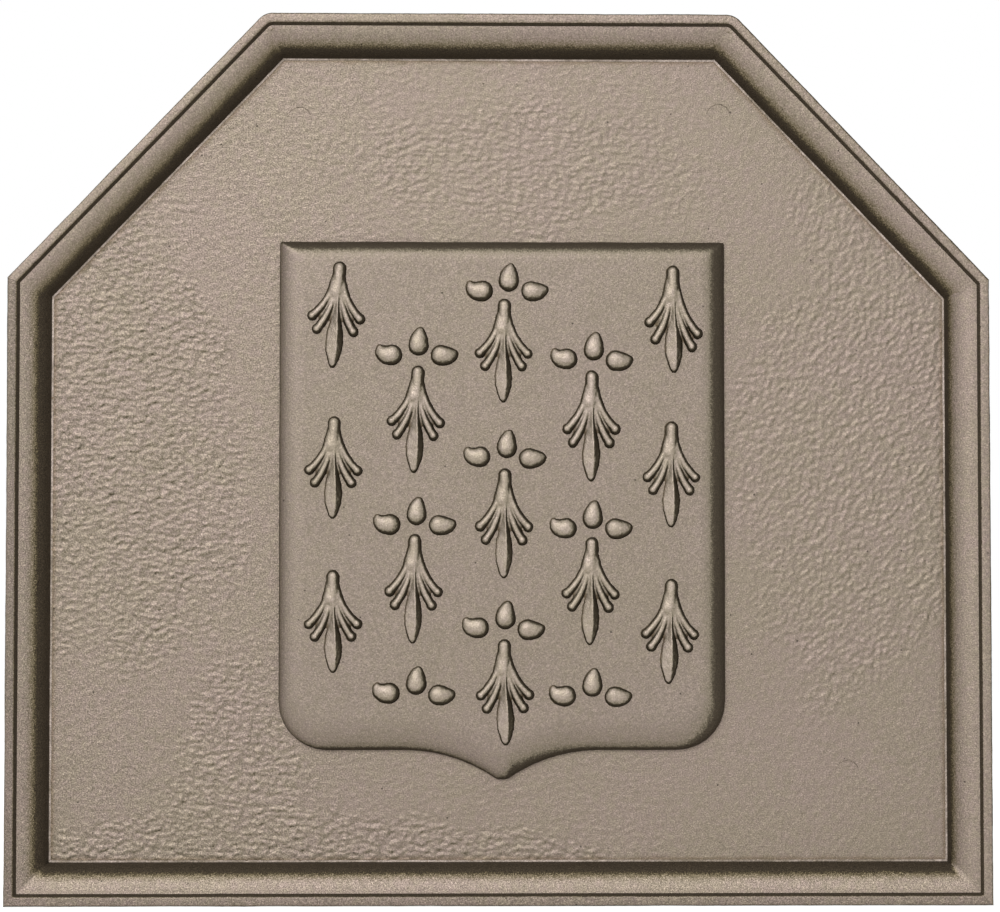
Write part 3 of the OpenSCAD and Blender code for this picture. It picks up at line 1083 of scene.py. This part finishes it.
    def witness_ring(self, x: float, z: float) -> Object:
        """A faint mark of one of the pattern's pins: a ring whose upper part just stands out."""
        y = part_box("back_plate")[0].y + 1.1 * self.ring_wire * MM
        return add(
            "witness_ring", bpy.ops.mesh.primitive_torus_add,
            major_radius=self.ring_r * MM, minor_radius=self.ring_wire * MM,
            major_segments=64, minor_segments=10, location=(x * MM, y, z * MM),
            rotation=(math.pi / 2 + math.radians(self.ring_tilt), 0, 0),
        )

    def build(self) -> None:
        """Model the plate and part its field into four panels round the shield."""
        self.body()
        whole = self.face()
        shield_low, shield_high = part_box("shield")
        middle = (shield_low.z + shield_high.z) / 2
        left, right = shield_low.x, shield_high.x
        panels: dict[str, Callable[[Vector], bool]] = {
            "left": lambda place: place.x < left,
            "right": lambda place: place.x > right,
            "top": lambda place: left <= place.x <= right and place.z > middle,
            "bottom": lambda place: left <= place.x <= right and place.z <= middle,
        }
        for name, inside in panels.items():
            piece = copy_of(whole, "field_" + name)
            self.close(piece, inside)
            places = [(x, z) for x, z in self.ring_places if inside(Vector((x, 0, z)) * MM)]
            piece = join([piece, *(self.witness_ring(x, z) for x, z in places)], piece.name)
            smooth(piece, self.crease)
            finish(piece, self.field_material, "cast_field", "back_plate")
        remove(whole)

    def close(self, piece: Object, inside: Callable[[Vector], bool]) -> None:
        """Keep one panel of the field, and give it a thin body so that it is closed.

        Args:
            piece: A copy of the whole field.
            inside: Whether a place lies in this panel.
        """
        with editing(piece):
            drop_faces(piece, lambda place, face: not inside(place))
            pick_open_edges(piece)
            deepen(bpy.ops.mesh.extrude_edges_move, self.recess * MM)
            bpy.ops.mesh.edge_face_add()
            face_outwards()


# -------------------------------------------------------------------- shield


@dataclass
class Shield:
    """The raised shield, whose edge rolls down to the field all round."""

    material: Material
    voxel: float = 0.9  # mm between points of its surface
    bed: float = 1.6  # mm that it reaches below the field
    rounds: int = 8
    crease: float = 60.0
    skin: tuple[Relief, ...] = (Relief(38, 0.5), Relief(1.9, 0.2, depth=2))

    def build(self) -> None:
        """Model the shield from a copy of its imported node."""
        low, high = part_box("shield")
        piece = copy_of(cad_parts["shield"], "cast_shield")
        with editing(piece):
            bpy.ops.mesh.remove_doubles(threshold=HAIR)
            pick(piece, Element.VERTEX, lambda place, vertex: place.y > high.y - HAIR)
            bpy.ops.transform.translate(value=(0, 2 * self.bed * MM, 0))
        apply_modifier(piece, "REMESH", mode="VOXEL", voxel_size=self.voxel * MM)
        relax(piece, self.rounds)
        with editing(piece):
            cut_off((0, high.y + self.bed * MM, 0), (0, 1, 0), fill=True)
            face_outwards()
        for relief in self.skin:
            relief.press(piece)
        smooth(piece, self.crease)
        finish(piece, self.material, "cast_field", "shield")


# ------------------------------------------------------------ ermine spots


@dataclass(frozen=True)
class Finger:
    """A rounded bar that lies along a bent line on the shield, in mm from the head.

    Its section is half an ellipse, as wide as its radii say and as high as its height.
    """

    start: Point
    bend: Point
    end: Point
    start_r: float
    end_r: float
    height: float
    fullness: float = 1.0  # over 1, it keeps the width of its start for longer
    knob_r: float = 0.0  # radius of a knob on its end, if it has one
    balls: int = 9

    def model(self) -> Object:
        """Model it on the plane y = 0, as a swept tube and a row of balls that fill it out."""
        first, turn, last = (Vector((x, 0, z)) * MM for x, z in (self.start, self.bend, self.end))
        bpy.ops.object.select_all(action="DESELECT")
        bpy.ops.curve.primitive_bezier_curve_add()
        curve = bpy.context.active_object.data
        curve.dimensions = "3D"
        curve.resolution_u = 20
        curve.bevel_depth = MM
        curve.bevel_resolution = 6
        curve.use_fill_caps = True
        for point, place, radius in zip(
            curve.splines[0].bezier_points, (first, last), (self.start_r, self.end_r)
        ):
            point.handle_left_type = point.handle_right_type = "FREE"
            point.co = place
            point.handle_left = point.handle_right = place.lerp(turn, 2 / 3)
            point.radius = radius
        bpy.ops.object.convert(target="MESH")
        parts = [claim("finger")]
        for step in range(self.balls):
            share = step / (self.balls - 1)
            place = first.lerp(turn, share).lerp(turn.lerp(last, share), share)
            radius = self.start_r + (self.end_r - self.start_r) * share**self.fullness
            if step == self.balls - 1:
                radius = max(radius, self.knob_r)
            parts.append(add(
                "finger_ball", bpy.ops.mesh.primitive_uv_sphere_add,
                segments=24, ring_count=16, radius=radius * MM, location=tuple(place),
            ))
        piece = join(parts, "finger")
        flat = self.height / max(self.start_r, self.end_r)
        with editing(piece):
            bpy.ops.transform.resize(value=(1, flat, 1), center_override=(0, 0, 0))
        return piece


@dataclass(frozen=True)
class Bar:
    """A straight bar down the middle of a tail, shaped at stations, in mm from the head.

    Each station is (distance down, half width, height of the side, height of the ridge).
    """

    stations: tuple[tuple[float, float, float, float], ...]
    aside: float = 0.0  # mm that the ridge lies to the right of the middle

    def model(self) -> Object:
        """Model it on the plane y = 0, from a block that is cut and drawn in at its stations."""
        top, bottom = self.stations[0][0] * MM, self.stations[-1][0] * MM
        piece = add(
            "bar", bpy.ops.mesh.primitive_cube_add, (2 * MM, 2 * MM, bottom - top),
            size=1, location=(0, 0, -(top + bottom) / 2),
        )
        with editing(piece):
            ring_cut((0, 0, 0), (1, 0, 0))
            for distance, *_ in self.stations[1:-1]:
                ring_cut((0, 0, -distance * MM), (0, 0, 1))
            for distance, half, side, ridge in self.stations:
                level = -distance * MM
                pick(piece, Element.VERTEX, self.at(level))
                bpy.ops.transform.resize(value=(half, side, 1), center_override=(0, 0, level))
                pick(piece, Element.VERTEX, self.at(level, on_ridge=True))
                rise = (self.aside * half / 4 * MM, -(ridge - side) * MM, 0)
                bpy.ops.transform.translate(value=rise)
            face_outwards()
        return piece

    @staticmethod
    def at(level: float, on_ridge: bool = False) -> Test:
        """A test for the vertices of a station, all of them or only the ridge's."""
        return lambda place, vertex: abs(place.z - level) < HAIR and (
            not on_ridge or (abs(place.x) < HAIR and place.y < 0)
        )


@dataclass(frozen=True)
class Ground:
    """A block of shield under an ornament, on which it is blended and then lifted off."""

    low: Point
    high: Point
    depth: float = 3.0
    sunk: float = 0.14  # mm that the block lies below the plane on which the ornament is lifted off
    voxel: float = 0.4
    rounds: int = 5
    bed: float = 0.6  # mm that it goes into the shield

    def blend(self, parts: list[Object], name: str) -> Object:
        """Blend parts into one soft casting that rises from the shield in a small fillet.

        Args:
            parts: The shapes that stand on the plane y = 0.
            name: The name of the ornament.

        Returns:
            The ornament, closed underneath.
        """
        x, z = ((a + b) / 2 * MM for a, b in zip(self.low, self.high))
        width, height = ((b - a) * MM for a, b in zip(self.low, self.high))
        block = add(
            "ground", bpy.ops.mesh.primitive_cube_add, (width, self.depth * MM, height),
            size=1, location=(x, (self.sunk + self.depth / 2) * MM, z),
        )
        piece = join([*parts, block], name)
        apply_modifier(piece, "REMESH", mode="VOXEL", voxel_size=self.voxel * MM)
        relax(piece, self.rounds)
        with editing(piece):
            cut_off((0, 0, 0), (0, 1, 0))
            pick_open_edges(piece)
            deepen(bpy.ops.mesh.extrude_edges_move, self.bed * MM)
            bpy.ops.mesh.fill_holes(sides=0)
            face_outwards()
        return piece


@dataclass(frozen=True)
class TailPattern:
    """Pattern of an ermine tail, in mm from its head, hanging down."""

    head_r: float = 3.05
    cushion_r: float = 4.5
    outer_reach: float = 12.2
    outer_drop: float = 28.2
    inner_reach: float = 9.3
    inner_drop: float = 34.8
    outer_more: float = 0.0  # mm by which the right outer feather hangs lower than the left one
    inner_more: float = 0.0
    root_share: float = 0.7  # width of a feather's root against its end
    feather_r: float = 2.1
    knob_r: float = 2.35
    feather_h: float = 2.5
    web_r: float = 0.7
    blade_r: float = 4.2
    blade_belly: float = 40.0
    blade_h: float = 2.9
    ridge_aside: float = 1.25
    length: float = 53.4

    def feather(self, side: int, root: Point, bend: Point, reach: float, drop: float) -> Object:
        """One feather.

        Args:
            side: -1 for the left, or 1 for the right.
            root: Where it starts, on the right.
            bend: Where it turns, in shares of its reach and its drop.
            reach: How far its end is aside.
            drop: How far its end hangs down.

        Returns:
            The feather.
        """
        return Finger(
            (side * root[0], root[1]), (side * bend[0] * reach, -bend[1] * drop),
            (side * reach, -drop), self.root_share * self.feather_r, self.feather_r,
            self.feather_h, knob_r=self.knob_r,
        ).model()

    def feathers(self) -> list[Object]:
        """The two outer and two inner feathers, and the thin web that stands between them."""
        made = []
        for side, outer_more, inner_more in ((-1, 0.0, 0.0), (1, self.outer_more, self.inner_more)):
            reach, drop = self.outer_reach, self.outer_drop + outer_more
            made.append(self.feather(side, (1.2, -4), (0.21, 0.69), reach, drop))
            made.append(self.feather(
                side, (0.6, -9), (0.18, 0.7), self.inner_reach, self.inner_drop + inner_more
            ))
            made.append(Finger(
                (side * 2.6, -16), (side * 0.3 * reach, -0.8 * drop),
                (side * 0.56 * reach, -0.9 * drop), self.web_r, 0.7 * self.web_r, 0.9,
            ).model())
        return made

    def model(self, name: str) -> Object:
        """Model the tail on the plane y = 0, its head at the origin."""
        neck = Finger((0, -self.head_r), (0, -8), (0, -13), self.head_r, 3.2, 2.9).model()
        cushion = Finger((-0.1, -6), (-0.4, -10), (-0.9, -15), 3.0, self.cushion_r, 3.0).model()
        fan = Bar((
            (13, 3.7, 2.0, 2.8), (17, 4.6, 1.6, 2.6), (20, 5.4, 1.2, 2.1), (23, 6.4, 0.8, 1.4),
            (27, 8.2, 0.5, 0.7), (30, 9.0, 0.1, 0.1),
        )).model()
        belly, end = self.blade_belly, self.length
        blade = Bar((
            (belly - 24, 1.2, 1.4, 2.8), (belly - 15, 1.7, 0.6, 2.8), (belly - 10, 2.5, 0.4, 2.8),
            (belly - 5, 3.6, 0.4, self.blade_h), (belly, self.blade_r, 0.5, self.blade_h),
            (belly + 5, 0.92 * self.blade_r, 0.8, 2.7), (end - 4, 0.62 * self.blade_r, 1.1, 2.3),
            (end - 1.3, 0.38 * self.blade_r, 1.2, 1.8), (end, 0.14 * self.blade_r, 0.9, 1.1),
        ), self.ridge_aside).model()
        ground = Ground((-20, -self.length - 5), (20, 5))
        return ground.blend([neck, cushion, fan, blade, *self.feathers()], name)


@dataclass(frozen=True)
class DropPattern:
    """Pattern of the three ermine drops round a head, in mm from the head.

    The upper one is an egg that leans to the right, the left one a bean with its point up and
    the right one a pear with a blunt end.
    """

    body_r: float = 4.9
    height: float = 3.1
    fullness: float = 1.7

    def drop(self, body: Point, bend: Point, tip: Point, tip_r: float) -> Object:
        """One drop, from the middle of its round end to the middle of its small end."""
        return Finger(body, bend, tip, self.body_r, tip_r, self.height, self.fullness).model()

    def model(self, name: str) -> Object:
        """Model the three drops on the plane y = 0, round a head at the origin."""
        drops = [
            self.drop((1.0, 10.2), (1.1, 13.8), (2.0, 17.3), 2.0),
            self.drop((-12.4, 5.5), (-17.6, 4.8), (-18.8, 9.0), 1.6),
            self.drop((12.3, 5.0), (16.2, 4.3), (19.0, 5.6), 2.0),
        ]
        return Ground((-28, -6), (26, 25)).blend(drops, name)


@dataclass(frozen=True)
class Spot:
    """One ornament on the shield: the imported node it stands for, and how it was set."""

    node: str
    lean: float = 0.0  # degrees, anticlockwise from the front
    stretch: float = 1.0  # its length against the pattern's
    pattern: str = "tail"
    foot_shade_h: float = 1.0  # mm above the shield up to which shade is painted at its foot
    crease: float = 60.0
    skin: tuple[Relief, ...] = (Relief(4.5, 0.4), Relief(1.7, 0.22))

    def set_down(self, pattern: Object, face_y: float, material: Material) -> None:
        """Set a copy of a pattern on the shield, where its node is.

        Args:
            pattern: The modelled ornament.
            face_y: Depth of the shield's face.
            material: Its finish.
        """
        piece = copy_of(pattern, "ermine_" + self.node)
        piece.rotation_euler = (0, -math.radians(self.lean), 0)
        piece.scale = (1, 1, self.stretch)
        settle(piece)
        low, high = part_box(self.node)
        xs, _, zs = zip(*(vertex.co for vertex in piece.data.vertices))
        piece.location = ((low.x + high.x - min(xs) - max(xs)) / 2, face_y, high.z - max(zs))
        settle(piece)
        for relief in self.skin:
            relief.press(piece)
        # Painted shade where the ornament meets the shield
        mark(
            piece, FOOT_SHADE,
            lambda place: 1 - soft_step((face_y - place.y) / MM, 0.1, self.foot_shade_h),
        )
        smooth(piece, self.crease)
        finish(piece, material, "cast_relief", self.node)


@dataclass
class Ermine:
    """The ermine field of the shield: thirteen tails and nine groups of three drops."""

    material: Material
    tails: tuple[Spot, ...] = (
        Spot("tail_left_1", -4.2, 1.006), Spot("tail_left_2", -0.9, 0.965),
        Spot("tail_left_3", 0.2, 0.96), Spot("tail_right_1", 0.7, 1.015, "long tail"),
        Spot("tail_right_2", -0.4, 1.0), Spot("tail_right_3", -1.8, 0.985),
        Spot("tail_inner_left_1", -2.4, 1.01), Spot("tail_inner_left_2", -1.2, 1.03),
        Spot("tail_inner_right_1", -0.6, 1.05), Spot("tail_inner_right_2", -1.4, 1.015),
        Spot("tail_middle_1", -0.8, 0.98), Spot("tail_middle_2", -0.7, 1.035),
        Spot("tail_middle_3", 0.9, 0.995),
    )
    drops: tuple[Spot, ...] = (
        Spot("drops_middle_1", 1.0), Spot("drops_middle_2", -0.5), Spot("drops_middle_3", -0.8),
        Spot("drops_inner_left_1", 0.6), Spot("drops_inner_left_2", 0.4),
        Spot("drops_inner_left_3", -1.0), Spot("drops_inner_right_1", -1.2),
        Spot("drops_inner_right_2", 0.8), Spot("drops_inner_right_3", 0.2),
    )

    def build(self) -> None:
        """Model the patterns once, and set a copy of them down at every spot."""
        face_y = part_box("shield")[0].y
        tail = TailPattern()
        long_tail = replace(tail, outer_more=6.0, inner_more=4.0, inner_drop=36.8)
        patterns = {
            "tail": tail.model("tail_pattern"),
            "long tail": long_tail.model("long_tail_pattern"),
        }
        for spot in self.tails:
            spot.set_down(patterns[spot.pattern], face_y, self.material)
        drops = DropPattern().model("drops_pattern")
        for spot in self.drops:
            spot.set_down(drops, face_y, self.material)
        for pattern in (*patterns.values(), drops):
            remove(pattern)


# -------------------------------------------------------------------- studio


@dataclass
class Studio:
    """A pale floor, soft light from the upper left, and the camera in front."""

    camera_place: Place = (-0.0402, -1.798, 0.1352)
    look_up: float = 2.9533  # degrees
    look_right: float = 1.2907  # degrees
    lens: float = 127.04  # mm on a 36 mm wide sensor
    floor_size: float = 14.0
    floor_colour: str = "f4f2ee"
    floor_glow: float = 0.7  # added where the camera or a reflection sees the floor
    sky: float = 0.27  # light from all round on surfaces that aren't glossy
    key_power: float = 115.0
    key_width: float = 3.0
    key_height: float = 1.2
    key_place: Place = (-1.05, -3.6, 2.5)
    aim: Place = (0.0, 0.0, 0.22)

    @staticmethod
    def shown(tree: Tree) -> Socket:
        """A socket that is 1 on rays from the camera, reflections and refractions, and else 0."""
        path = add_node(tree, "LightPath").outputs
        seen = reckon(tree, "MAXIMUM", path["Is Camera Ray"], path["Is Glossy Ray"])
        return reckon(tree, "MAXIMUM", seen, path["Is Transmission Ray"])

    def floor(self) -> None:
        """Lay the plain floor, which is seen as white but for the shadow on it."""
        floor = add(
            "floor", bpy.ops.mesh.primitive_plane_add, size=self.floor_size, location=(0, 0, 0)
        )
        material = bpy.data.materials.new("matt_pale_floor")
        tree = cleared_tree(material)
        shader = add_node(tree, "BsdfPrincipled", {
            "Base Color": linear(self.floor_colour), "Roughness": 0.9,
            "Emission Color": (1, 1, 1, 1),
            "Emission Strength": reckon(tree, "MULTIPLY", self.shown(tree), self.floor_glow),
        })
        add_node(tree, "OutputMaterial", {"Surface": shader.outputs[0]})
        floor.data.materials.append(material)

    def world(self) -> None:
        """White all round for the camera and for reflections, and a softer light for the rest."""
        world = bpy.data.worlds.new("studio")
        tree = cleared_tree(world)
        light, white = (
            add_node(tree, "Background", {"Color": (1, 1, 1, 1), "Strength": strength}).outputs[0]
            for strength in (self.sky, 1.0)
        )
        mixed = add_node(tree, "MixShader", {0: self.shown(tree), 1: light, 2: white})
        add_node(tree, "OutputWorld", {"Surface": mixed.outputs[0]})
        bpy.context.scene.world = world

    def key_light(self) -> None:
        """Hang the large soft lamp at the upper left, in front of the fireback."""
        lamp = bpy.data.lights.new("key_light", "AREA")
        lamp.shape = "RECTANGLE"
        lamp.size = self.key_width
        lamp.size_y = self.key_height
        lamp.energy = self.key_power
        holder = bpy.data.objects.new("key_light", lamp)
        bpy.context.scene.collection.objects.link(holder)
        holder.location = self.key_place
        towards = Vector(self.aim) - Vector(self.key_place)
        holder.rotation_euler = towards.to_track_quat("-Z", "Y").to_euler()

    def camera(self) -> None:
        """Set the camera up at the angle from which the fireback is seen."""
        data = bpy.data.cameras.new("camera")
        data.lens = self.lens
        holder = bpy.data.objects.new("camera", data)
        bpy.context.scene.collection.objects.link(holder)
        holder.location = self.camera_place
        holder.rotation_euler = (math.radians(90 + self.look_up), 0, -math.radians(self.look_right))
        bpy.context.scene.camera = holder

    def build(self) -> None:
        """Set up the whole studio."""
        self.floor()
        self.world()
        self.key_light()
        self.camera()
        bpy.context.scene.view_settings.view_transform = "Standard"


# ---------------------------------------------------------------------- main


def main() -> None:
    """Build the fireback and the studio round it."""
    logging.basicConfig(level=logging.INFO, format="%(name)s: %(message)s")
    outline = Outline.of_frame()
    side_materials = {side: iron.build() for side, iron in SHADED_SIDE_IRONS.items()}
    moulded = MouldedFrame(outline, side_materials, FILLET_HIGHLIGHT_IRON.build(), STEP_SHADE_IRON.build())
    moulded.build()
    Plate(outline, FIELD_IRON.build(), RAW_IRON.build(), moulded.band_w).build()
    Shield(SHIELD_IRON.build()).build()
    Ermine(RELIEF_IRON.build()).build()
    Studio().build()


if __name__ == "__main__":
    main()
